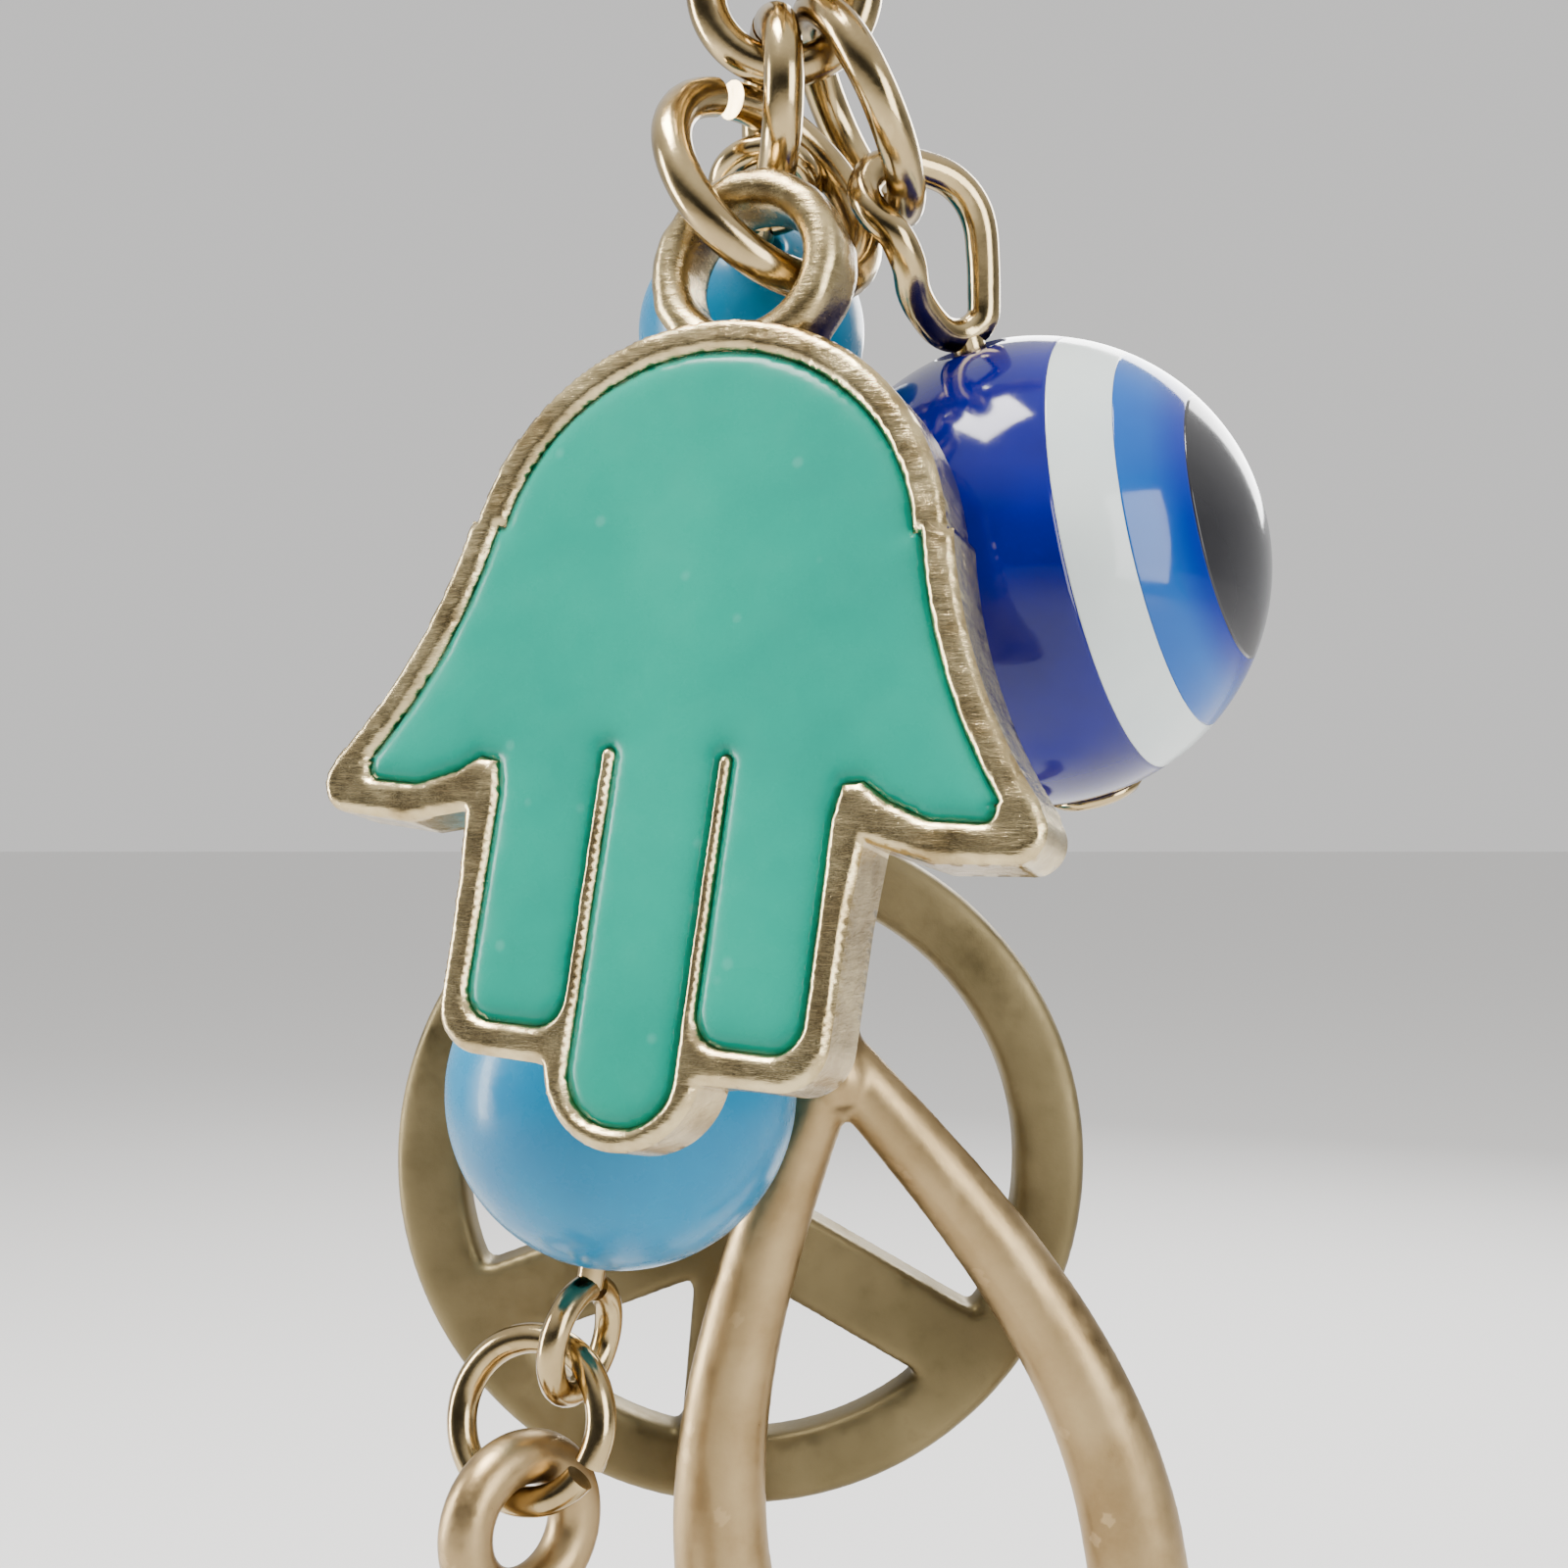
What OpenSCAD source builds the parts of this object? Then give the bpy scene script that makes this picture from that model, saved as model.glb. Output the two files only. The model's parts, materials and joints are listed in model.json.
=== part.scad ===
// Hanging cluster of lucky charms: hamsa hand, evil eye bead, blue beads, wishbone and medallion.
// Millimetres, +Z up, +X to the right of the hand, +Y towards the back of the cluster.
// The origin is the centre of the split key ring that everything hangs from.

/* [Key ring] */
// Outer diameter of the split key ring
key_ring_od = 22; // [20:0.5:24]
// Wire diameter of the key ring's two coils
key_ring_wire = 1.3; // [1.2:0.05:1.4]
// Outer diameter of the ring that joins the key ring to the cluster
link_od = 7; // [6.8:0.1:7.4]
// Wire diameter of that ring
link_wire = 1.0; // [0.9:0.05:1.1]

/* [Rings] */
// Wire diameter of the round rings
ring_wire = 0.8; // [0.7:0.02:0.84]
// Outer diameter of the closed rings at the top
ring_od = 4.0; // [3.9:0.05:4.1]
// Outer diameter of the two rings that carry the wishbone
wishbone_ring_od = 4.4; // [4.35:0.05:4.45]
// Angle left open where a jump ring is cut
cut_angle = 12; // [6:1:20]

/* [Hamsa hand] */
// Thickness of the cast hand
hand_t = 1.7; // [1.4:0.1:1.9]
// Depth of the pocket that holds the enamel
pocket_d = 0.7; // [0.4:0.1:0.9]
// Radius of the dome at the top of the palm
dome_r = 5.13; // [5:0.01:5.3]
// Wall of the bail, measured across the ring
bail_wall = 0.8; // [0.7:0.05:0.85]

/* [Beads] */
// Diameter of the evil eye bead
eye_d = 10; // [9.8:0.1:10.2]
// Diameter of the bead behind the bail
small_bead_d = 5; // [4.8:0.1:5.1]
// Diameter of the bead behind the fingertips
big_bead_d = 8; // [7.8:0.1:8.1]
// Wire diameter of the pins through the blue beads
pin_wire = 0.6; // [0.5:0.05:0.65]

/* [Back charms] */
// Length of the wishbone's arms below the crest
wishbone_l = 21; // [19:0.5:23]
// Width of one arm at its lower end
arm_w = 2.5; // [2.2:0.1:2.7]
// Outer diameter of the medallion
medallion_od = 17.5; // [17:0.1:18]
// Width of the medallion's rim and bars
medallion_bar = 1.8; // [1.6:0.1:2]

/* [Hidden] */
$fn = 48;
gap = 0.05; // free play between two wires that hang in each other
drop = 31.68; // height of the key ring's centre above the middle of the hand

function unit(v) = v / norm(v);

// Places children so that local +Z runs along z and local +X lies on the side of x
module placed(at, z, x) {
    zz = unit(z);
    yy = unit(cross(zz, x));
    xx = cross(yy, zz);
    multmatrix([
        [xx.x, yy.x, zz.x, at.x],
        [xx.y, yy.y, zz.y, at.y],
        [xx.z, yy.z, zz.z, at.z],
        [0, 0, 0, 1]
    ]) children();
}

// A round wire ring, or one cut open by an angle centred on local +X turned by cut_at
module wire_ring(r, wire, open = 0, cut_at = 0) {
    if (open == 0) {
        rotate_extrude() translate([r, 0]) circle(d = wire);
    } else {
        rotate([0, 0, cut_at + open / 2])
            rotate_extrude(angle = 360 - open) translate([r, 0]) circle(d = wire);
    }
}

// Sweeps an oval section along points; widths lie along side, thicknesses across it
module swept(points, widths, thicknesses, side, n = 12, closed = false) {
    last = len(points) - 1;
    rings = [
        for (i = [0 : last])
            let (
                next = closed ? (i + 1) % (last + 1) : min(i + 1, last),
                before = closed ? (i + last) % (last + 1) : max(i - 1, 0),
                ahead = unit(points[next] - points[before]),
                across = unit(cross(ahead, side)),
                along = cross(across, ahead)
            )
            for (k = [0 : n - 1])
                points[i]
                    + along * widths[i] / 2 * cos(360 * k / n)
                    + across * thicknesses[i] / 2 * sin(360 * k / n)
    ];
    walls = [
        for (i = [0 : closed ? last : last - 1], k = [0 : n - 1])
            let (a = i * n, b = (i + 1) % (last + 1) * n, m = (k + 1) % n)
                [a + k, b + k, b + m, a + m]
    ];
    ends = closed ? [] : [[for (k = [0 : n - 1]) k], [for (k = [0 : n - 1]) last * n + n - 1 - k]];
    polyhedron(rings, concat(walls, ends), convexity = 6);
}

// A bead turned from a sphere, with small flats where the hole comes out
module bead(d, hole) {
    flats = sqrt(d * d - 4 * hole * hole);
    difference() {
        sphere(d = d, $fn = 96);
        for (side = [0, 1])
            mirror([0, 0, side]) translate([0, 0, flats / 2]) cylinder(d = d, h = d);
        translate([0, 0, -d]) cylinder(d = hole, h = 2 * d);
    }
}

// A straight wire with a round loop at each end; loops are turned about the wire by twist
module eye_pin(loop_r, half, wire, twist = 0) {
    cylinder(d = wire, h = 2 * (half - loop_r), center = true);
    for (side = [0, 1])
        mirror([0, 0, side]) translate([0, 0, half])
            rotate([90, 0, side * twist]) wire_ring(loop_r, wire);
}

// ---- Rings ----
// Each ring is a centre, the direction of its axis and its wire-centre radius.
ring_r = (ring_od - ring_wire) / 2;
cluster_ring_at = [0, 3, 16.15];
centre_ring_at = [-0.25, 3.1, 13.82];
centre_ring_axis = [cos(9), sin(9), 0];
bead_ring_at = [1.5, 3.3, 13.75];
bead_ring_axis = [-0.893, -0.078, -0.443];
bead_ring_r = 2.16;
hand_ring_at = [-0.29, 2.44, 11.92];
hand_ring_axis = [0.583, -0.655, 0.481];
hand_ring_r = 2.35;
link_r = (link_od - link_wire) / 2;
key_ring_r = key_ring_od / 2 - key_ring_wire / 2;
link_at = cluster_ring_at + [0, 0, ring_r - (link_wire + ring_wire) / 2 - gap + link_r];

module hung() {
    translate([0, -cluster_ring_at.y, -drop]) children();
}

// Split ring: two coils of one wire, side by side
module key_ring() {
    color("silver")
        for (side = [-1, 1])
            translate([0, side * key_ring_wire * 0.49, 0])
                rotate([90, 0, 0]) wire_ring(key_ring_r, key_ring_wire);
}

module key_ring_link() {
    color("goldenrod")
        hung() placed(link_at, [1, 0, 0], [0, 1, 0]) wire_ring(link_r, link_wire, 4, 0);
}

module cluster_ring() {
    color("goldenrod")
        hung() placed(cluster_ring_at, [0, -1, 0], [1, 0, 0]) wire_ring(ring_r, ring_wire);
}

module centre_ring() {
    color("goldenrod")
        hung() placed(centre_ring_at, centre_ring_axis, [0, 0, 1]) wire_ring(ring_r, ring_wire);
}

module bead_ring() {
    color("goldenrod")
        hung() placed(bead_ring_at, bead_ring_axis, [0, 0, -1])
            wire_ring(bead_ring_r, ring_wire, cut_angle, -20);
}

module hand_ring() {
    color("goldenrod")
        hung() placed(hand_ring_at, hand_ring_axis, [-0.7, 0, 0.7])
            wire_ring(hand_ring_r, ring_wire, cut_angle, -25);
}

// ---- Hamsa hand ----
// Drawn flat with x across and y up the hand, from its middle; the front face is at zero depth.
hand_at = [-2.2, -1, 0.81];
hand_turn = [-11.5, 3.6, -23]; // pitch, lean and yaw
dome_y = 3.33;
dome_out = dome_r - 0.16;
side_at = [15.7, 6.1];
side_r = 10.85;
rim_w = 0.65;
ridge_w = 0.28;
bail_y = 9.5;
bail_r = 1.6;
bail_depth = 1.5;

function arc(at, r, from, to, n = 12) =
    [for (i = [0 : n]) let (a = from + (to - from) * i / n) at + r * [cos(a), sin(a)]];

function mirrored(half) =
    concat(half, [for (i = [len(half) - 1 : -1 : 0]) [-half[i].x, half[i].y]]);

// Half outline, clockwise from the crown of the palm to the middle fingertip
hand_half = concat(
    arc([0, dome_y], dome_out, 90, 10, 20),
    arc(side_at, side_r, 190, 218.5, 10),
    arc([6.83, -1.2], 0.58, 39, -95, 10),
    [[5.4, -1.87], [4.1, -1.57], [4, -3]],
    arc([3.05, -5.2], 0.92, 0, -90, 8),
    [[1.75, -6.14]],
    arc([0, -5.95], 1.6, -8, -90, 8)
);

// Half of the palm's pocket, down to the tops of the finger slots
palm_half = concat(
    arc([0, dome_y], dome_out - rim_w, 90, 10, 20),
    arc(side_at, side_r + rim_w * 0.95, 190, 216.5, 10),
    arc([6.2, -0.86], 0.22, 30, -95, 5),
    [[5.3, -1.1], [4.45, -0.8], [3.95, -0.48], [3.55, -0.55], [3.42, -1.2]]
);

module slot_2d(x0, x1, bottom, r) {
    translate([x0, bottom + r]) square([x1 - x0, -bottom - r - 0.6]);
    translate([x0 + r, bottom]) square([x1 - x0 - 2 * r, r + 0.01]);
    for (x = [x0 + r, x1 - r])
        translate([x, bottom + r]) circle(r = r);
}

module pocket_2d() {
    difference() {
        union() {
            polygon(mirrored(palm_half));
            slot_2d(1.07 + ridge_w, 3.42, -5.47, 0.6);
            slot_2d(-3.42, -1.07 - ridge_w, -5.47, 0.6);
            slot_2d(-1.07, 1.07, -7.1, 1);
        }
        for (side = [-1, 1]) {
            translate([side * (1.07 + ridge_w / 2), -0.3]) circle(d = ridge_w);
            translate([side * (1.07 + ridge_w / 2) - ridge_w / 2, -4]) square([ridge_w, 3.7]);
        }
    }
}

module on_hand() {
    hung() translate(hand_at)
        rotate([0, 0, hand_turn.z]) rotate([hand_turn.x, 0, 0]) rotate([0, hand_turn.y, 0])
            children();
}

// Extrudes a flat drawing from one depth behind the face to another
module between(front, back) {
    translate([0, back, 0]) rotate([90, 0, 0]) linear_extrude(back - front) children();
}

module bail_section() {
    straight = bail_depth - bail_wall;
    translate([-bail_wall / 2, -straight / 2]) square([bail_wall, straight]);
    for (side = [-1, 1])
        translate([0, side * straight / 2]) circle(d = bail_wall);
}

module hand_frame() {
    color("darkgoldenrod")
        on_hand() {
            difference() {
                between(0, hand_t) polygon(mirrored(hand_half));
                between(-1, pocket_d) pocket_2d();
            }
            translate([0, hand_t / 2, bail_y]) rotate([90, 0, 0])
                rotate_extrude() translate([bail_r, 0]) bail_section();
        }
}

module hand_enamel() {
    color("mediumturquoise")
        on_hand() between(0.08, pocket_d) pocket_2d();
}

// ---- Evil eye bead ----
eye_at = [5.37, 5.5, 4.53];
eye_hole_axis = [-0.3, -0.25, 0.92];
eye_axis = [0.902, -0.389, 0.189];
eye_hole = 1.5;
eye_r = eye_d / 2;
loop_wire = 0.7;
// Layer faces, as shares of the bead's radius along the eye's axis
white_from = 0.38;
blue_from = 0.61;
pupil_from = 0.83;
// Bent wire loop that stands on the top of the bead's hole
loop_path = [
    [4.14, 4.25, 9.72], [4.17, 4.2, 10.3], [4.14, 4.09, 11.02], [4.05, 3.98, 11.65], [3.81, 3.85, 12.15],
    [3.41, 3.68, 12.48], [2.91, 3.47, 12.63], [2.37, 3.21, 12.66], [1.86, 2.93, 12.46], [1.61, 2.61, 11.95],
    [1.81, 2.34, 11.41], [2.22, 2.24, 10.95], [2.5, 2.49, 10.43], [2.64, 2.99, 9.97],
    [2.9, 3.5, 9.6], [3.35, 3.98, 9.37], [3.8, 4.22, 9.38]
];

module in_eye() {
    hung() placed(eye_at, eye_hole_axis, eye_axis) children();
}

module eye_layer(from, to) {
    in_eye() intersection() {
        bead(eye_d, eye_hole);
        translate([from, -eye_r, -eye_r]) cube([to - from, eye_d, eye_d]);
    }
}

module eye_loop() {
    foot_d = 2.2;
    foot_t = 0.4;
    wires = [for (p = loop_path) loop_wire];
    color("darkgoldenrod") {
        hung() swept(loop_path, wires, wires, [0.3, 0.9, 0.1], closed = true);
        in_eye() translate([0, 0, -eye_r]) cylinder(d = loop_wire, h = 2 * eye_r + 0.2);
        in_eye() translate([0, 0, -eye_r - foot_t + 0.1]) cylinder(d = foot_d, h = foot_t);
    }
}

module eye_body() {
    color("mediumblue") eye_layer(-white_from * eye_r, white_from * eye_r);
}

module eye_white_right() {
    color("white") eye_layer(white_from * eye_r, blue_from * eye_r);
}

module eye_blue_right() {
    color("deepskyblue") eye_layer(blue_from * eye_r, pupil_from * eye_r);
}

module eye_pupil_right() {
    color("dimgray") eye_layer(pupil_from * eye_r, eye_r);
}

module eye_white_left() {
    color("white") eye_layer(-blue_from * eye_r, -white_from * eye_r);
}

module eye_blue_left() {
    color("deepskyblue") eye_layer(-pupil_from * eye_r, -blue_from * eye_r);
}

module eye_pupil_left() {
    color("dimgray") eye_layer(-eye_r, -pupil_from * eye_r);
}

// ---- Strand of blue beads ----
small_bead_at = [-0.72, 7, 10];
small_pin_dir = unit([-0.338, 3.062, -2.463]);
small_loop_r = 0.9;
small_pin_half = 3.88; // from the bead's centre to a loop's centre
big_pin_dir = [0.164, 0, 0.986];
big_pin_wire = pin_wire + 0.05;
big_loop_r = 1.22;
big_pin_half = 5.75;
strand_1_at = small_bead_at + small_pin_half * small_pin_dir
    + [0, 0, -small_loop_r - ring_r + (pin_wire + ring_wire) / 2 + gap];

// A ring is [centre, axis, radius]; this one hangs in another along a direction
function hanging(from, dir, r, wire = ring_wire) =
    let (
        d = unit(dir),
        out = unit(d - (d * from[1]) * from[1]),
        run = cross(from[1], out)
    )
    [
        from[0] + from[2] * out + (r - (wire + ring_wire) / 2 - gap) * d,
        unit(run - (run * d) * d),
        r
    ];

strand_1 = [strand_1_at, [0, -1, 0], ring_r];
strand_2 = hanging(strand_1, [-0.752, -0.005, -0.659], ring_r);
strand_3 = hanging(strand_2, [0.308, -0.31, -0.9], ring_r);
strand_4 = hanging(strand_3, [0.245, -0.13, -0.961], ring_r);
big_pin_loop = hanging(strand_4, -big_pin_dir, big_loop_r, big_pin_wire);
big_bead_at = big_pin_loop[0] - big_pin_half * unit(big_pin_dir);
fork = hanging(strand_1, [0.342, 0, -0.94], ring_r);
drop_wire = 0.7;
drop_r = 1.8;
drop_ring_at = [-5.795, 8.4, -14.52];
drop_ring_axis = [-0.372, -0.891, 0.244];
charm_bail_at = [-5.965, 8, -16.82];
charm_bail_r = 1.55;
charm_bail_wall = 1.25;
charm_axis = [0.7, -0.71, 0];

module small_bead_pin() {
    color("goldenrod")
        hung() placed(small_bead_at, -small_pin_dir, [1, 0, 0])
            eye_pin(small_loop_r, small_pin_half, pin_wire, 90);
}

module small_bead() {
    color("skyblue")
        hung() placed(small_bead_at, -small_pin_dir, [1, 0, 0]) bead(small_bead_d, pin_wire + 0.4);
}

module chain_ring(ring) {
    color("goldenrod")
        hung() placed(ring[0], ring[1], [0.3, 0.1, -1]) wire_ring(ring[2], ring_wire);
}

module strand_ring_1() { chain_ring(strand_1); }
module strand_ring_2() { chain_ring(strand_2); }
module strand_ring_3() { chain_ring(strand_3); }
module strand_ring_4() { chain_ring(strand_4); }
module fork_ring() { chain_ring(fork); }

module in_big_bead() {
    hung() placed(big_bead_at, big_pin_dir, cross(big_pin_loop[1], big_pin_dir)) children();
}

module big_bead_pin() {
    color("goldenrod") in_big_bead() eye_pin(big_loop_r, big_pin_half, big_pin_wire, 26.4);
}

module big_bead() {
    color("skyblue") in_big_bead() bead(big_bead_d, big_pin_wire + 0.5);
}

module drop_ring() {
    color("goldenrod")
        hung() placed(drop_ring_at, drop_ring_axis, [0.6, 0, -0.8])
            wire_ring(drop_r, drop_wire, cut_angle, 20);
}

// Small cast horseshoe under a thick bail that is turned across it
module drop_charm() {
    shoe_r = 3.3;
    shoe_w = 1.7;
    shoe_t = 1.3;
    shoe_open = 70;
    shoe_y = -charm_bail_r - charm_bail_wall / 2 - shoe_r - shoe_w / 2 + 0.5;
    color("darkgoldenrod")
        hung() placed(charm_bail_at, charm_axis, [0.71, 0.7, 0]) {
            wire_ring(charm_bail_r, charm_bail_wall);
            translate([0, shoe_y, 0]) rotate([0, 90, 0]) rotate([0, 0, -90 + shoe_open / 2])
                rotate_extrude(angle = 360 - shoe_open)
                    translate([shoe_r - shoe_w / 2, -shoe_t / 2]) square([shoe_w, shoe_t]);
        }
}

// ---- Wishbone ----
// Its arms leave a crest and follow a sine, then draw in a little towards their ends.
wish_down = [0.184, 0.06, -0.981];
wish_r = (wishbone_ring_od - ring_wire) / 2;
wish_eye_r = 1.2;
wish_neck = 3.4; // from the eye's centre to where the two arms' curves meet
wishbone_1 = hanging(fork, [0.3, 0.035, -0.953], wish_r);
wishbone_2 = hanging(wishbone_1, [-0.019, 0.874, -0.485], wish_r);
wish_top = hanging(wishbone_2, wish_down, wish_eye_r)[0] + wish_neck * wish_down;
wish_half = 5.05;
wish_bend = 13.2; // where the arms are widest apart

function wish_x(s) =
    s < wish_bend ? wish_half * sin(90 * s / wish_bend) : wish_half * cos(4 * (s - wish_bend));

module wishbone() {
    steps = 24;
    arm_t = 1.9;
    s = [for (i = [0 : steps]) 0.25 + (wishbone_l - 0.25) * i / steps];
    grown = [for (a = s) min(1, 0.62 + 0.38 * a / wish_bend)];
    color("burlywood")
        hung() placed(wish_top, [0, -0.998, -0.061], [0.983, 0, 0.184]) {
            for (side = [-1, 1])
                swept([for (a = s) [side * wish_x(a), -a, 0]], [for (g = grown) arm_w * g],
                    [for (g = grown) arm_t * g], [1, 0, 0], 16);
            translate([0, -0.6, 0]) sphere(d = 1.75, $fn = 24);
            translate([0, wish_neck - 1, 0]) rotate([90, 0, 0]) cylinder(d = 1.5, h = wish_neck - 0.2);
            translate([0, wish_neck, 0]) wire_ring(wish_eye_r, ring_wire, $fn = 24);
            for (side = [-1, 1])
                translate([side * wish_x(wishbone_l), -wishbone_l, 0]) sphere(d = arm_w + 0.3, $fn = 24);
        }
}

module wishbone_ring_1() { chain_ring(wishbone_1); }
module wishbone_ring_2() { chain_ring(wishbone_2); }

// ---- Medallion ----
medallion_t = 1.5;
medallion_eye_r = 1.1;
medallion_tilt = -5;
medallion_1 = hanging(fork, [-0.187, 0.943, -0.277], ring_r);
medallion_2 = hanging(medallion_1, [-0.331, 0.657, -0.677], ring_r);
medallion_eye = hanging(medallion_2, [0, 0, -1], medallion_eye_r);
medallion_at = medallion_eye[0] - [0, 0, medallion_od / 2 + medallion_eye_r - 0.1];

module medallion_ring_1() { chain_ring(medallion_1); }
module medallion_ring_2() { chain_ring(medallion_2); }

// A post from top to bottom and two legs that spread from just below the centre
module medallion_bars_2d(inner) {
    post = medallion_bar;
    leg = medallion_bar * 1.15;
    translate([-post / 2, -inner - 0.5]) square([post, 2 * inner + 1]);
    for (turn = [-25, 205])
        translate([0, -1.5]) rotate(turn) translate([0, -leg / 2]) square([inner, leg]);
}

module medallion() {
    inner = medallion_od / 2 - medallion_bar;
    color("darkkhaki") {
        hung() placed(medallion_at, [0, -1, 0], [1, 0, 0])
            rotate([0, 0, medallion_tilt]) {
                difference() {
                    cylinder(d = medallion_od, h = medallion_t, center = true);
                    cylinder(r = inner, h = 2 * medallion_t, center = true);
                }
                linear_extrude(medallion_t, center = true) medallion_bars_2d(inner);
            }
        hung() placed(medallion_eye[0], medallion_eye[1], [0, 0, 1])
            wire_ring(medallion_eye_r, ring_wire);
    }
}

// ---- Parts ----
key_ring();
key_ring_link();
cluster_ring();
centre_ring();
bead_ring();
hand_ring();
hand_frame();
hand_enamel();
eye_loop();
eye_body();
eye_white_right();
eye_blue_right();
eye_pupil_right();
eye_white_left();
eye_blue_left();
eye_pupil_left();
small_bead_pin();
small_bead();
strand_ring_1();
strand_ring_2();
strand_ring_3();
strand_ring_4();
big_bead_pin();
big_bead();
drop_ring();
drop_charm();
fork_ring();
wishbone_ring_1();
wishbone_ring_2();
wishbone();
medallion_ring_1();
medallion_ring_2();
medallion();
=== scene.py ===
import bmesh
import bpy
import json
import math
import numpy as np
from mathutils import Matrix, Vector, noise
from mathutils.geometry import delaunay_2d_cdt

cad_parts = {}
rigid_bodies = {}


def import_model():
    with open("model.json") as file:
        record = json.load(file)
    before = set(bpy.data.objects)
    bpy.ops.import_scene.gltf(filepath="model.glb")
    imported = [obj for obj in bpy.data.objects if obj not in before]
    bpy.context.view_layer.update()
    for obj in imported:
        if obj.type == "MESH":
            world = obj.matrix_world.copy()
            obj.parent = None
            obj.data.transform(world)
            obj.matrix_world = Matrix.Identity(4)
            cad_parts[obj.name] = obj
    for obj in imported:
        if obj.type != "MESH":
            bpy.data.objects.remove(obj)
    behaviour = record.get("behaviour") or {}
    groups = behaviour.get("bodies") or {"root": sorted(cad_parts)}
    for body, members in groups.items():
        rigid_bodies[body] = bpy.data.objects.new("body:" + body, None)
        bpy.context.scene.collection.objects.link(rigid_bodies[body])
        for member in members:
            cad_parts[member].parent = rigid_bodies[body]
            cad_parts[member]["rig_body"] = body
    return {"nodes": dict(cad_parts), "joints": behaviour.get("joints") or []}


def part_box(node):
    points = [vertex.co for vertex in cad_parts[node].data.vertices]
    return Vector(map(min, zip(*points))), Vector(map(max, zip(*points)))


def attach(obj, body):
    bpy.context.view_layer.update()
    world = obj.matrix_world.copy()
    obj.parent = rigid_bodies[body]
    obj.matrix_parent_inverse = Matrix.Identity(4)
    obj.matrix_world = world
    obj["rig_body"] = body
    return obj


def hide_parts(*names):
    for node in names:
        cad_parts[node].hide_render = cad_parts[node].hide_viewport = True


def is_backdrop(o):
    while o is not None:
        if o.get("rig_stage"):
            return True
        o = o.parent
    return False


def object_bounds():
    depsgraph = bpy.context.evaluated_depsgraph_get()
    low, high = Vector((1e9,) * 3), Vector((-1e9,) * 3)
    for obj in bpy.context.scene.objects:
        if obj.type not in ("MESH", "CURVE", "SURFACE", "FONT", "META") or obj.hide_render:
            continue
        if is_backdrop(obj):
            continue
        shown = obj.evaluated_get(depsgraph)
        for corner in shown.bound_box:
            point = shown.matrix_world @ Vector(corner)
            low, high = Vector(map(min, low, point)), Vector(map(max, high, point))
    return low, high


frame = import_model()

cadLow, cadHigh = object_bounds()
mm = 0.001
fullTurn = 2 * math.pi


# small helpers

def meshObject(name, verts, faces, mat, smooth=True):
    mesh = bpy.data.meshes.new(name)
    mesh.from_pydata([tuple(v) for v in verts], [], faces)
    bm = bmesh.new()
    bm.from_mesh(mesh)
    bmesh.ops.remove_doubles(bm, verts=bm.verts, dist=1e-7)
    bmesh.ops.recalc_face_normals(bm, faces=bm.faces)
    bm.to_mesh(mesh)
    bm.free()
    for poly in mesh.polygons:
        poly.use_smooth = smooth
    mesh.materials.append(mat)
    obj = bpy.data.objects.new(name, mesh)
    bpy.context.scene.collection.objects.link(obj)
    return obj


def settle(obj, body, nodes):
    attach(obj, body)
    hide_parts(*nodes)
    return obj


def bake(obj):
    # the evaluated shape becomes a plain mesh and the modifiers go
    deps = bpy.context.evaluated_depsgraph_get()
    mesh = bpy.data.meshes.new_from_object(obj.evaluated_get(deps))
    obj.modifiers.clear()
    obj.data = mesh
    return obj


def nodePoints(node):
    mesh = frame["nodes"][node].data
    pts = np.empty(len(mesh.vertices) * 3)
    mesh.vertices.foreach_get("co", pts)
    return pts.reshape(-1, 3)


def readRing(node):
    # centre, axis, radius and wire of a round ring, and where its cut is
    pts = nodePoints(node)
    mid = pts.mean(0)
    axis = np.linalg.svd(pts - mid, full_matrices=False)[2][2]
    ref = np.cross(axis, [0.31, 0.2, -0.93])
    u = ref / np.linalg.norm(ref)
    v = np.cross(axis, u)
    x, y = (pts - mid) @ u, (pts - mid) @ v
    a = np.stack([2 * x, 2 * y, np.ones_like(x)], 1)
    cx, cy, _ = np.linalg.lstsq(a, x * x + y * y, rcond=None)[0]
    centre = mid + cx * u + cy * v
    x, y = x - cx, y - cy
    far = np.hypot(x, y)
    turn = np.sort(np.arctan2(y, x))
    gaps = np.diff(np.append(turn, turn[0] + fullTurn))
    k = int(gaps.argmax())
    wire = (far.max() - far.min()) / 2
    return dict(centre=centre, u=u, v=v, axis=axis, radius=(far.max() + far.min()) / 2, wire=wire,
                cutStart=turn[k], cutSize=gaps[k])


# materials

def newMaterial(name):
    mat = bpy.data.materials.new(name)
    mat.use_nodes = True
    tree = mat.node_tree
    tree.nodes.clear()
    out = tree.nodes.new("ShaderNodeOutputMaterial")
    bsdf = tree.nodes.new("ShaderNodeBsdfPrincipled")
    tree.links.new(bsdf.outputs["BSDF"], out.inputs["Surface"])
    return mat, tree, bsdf


def noiseNode(tree, scale, detail, rough=0.55, stretch=None):
    coord = tree.nodes.new("ShaderNodeTexCoord")
    tex = tree.nodes.new("ShaderNodeTexNoise")
    tex.inputs["Scale"].default_value = scale
    tex.inputs["Detail"].default_value = detail
    tex.inputs["Roughness"].default_value = rough
    if stretch:
        mapping = tree.nodes.new("ShaderNodeMapping")
        mapping.inputs["Scale"].default_value = stretch
        tree.links.new(coord.outputs["Object"], mapping.inputs["Vector"])
        tree.links.new(mapping.outputs["Vector"], tex.inputs["Vector"])
    else:
        tree.links.new(coord.outputs["Object"], tex.inputs["Vector"])
    return tex


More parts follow.
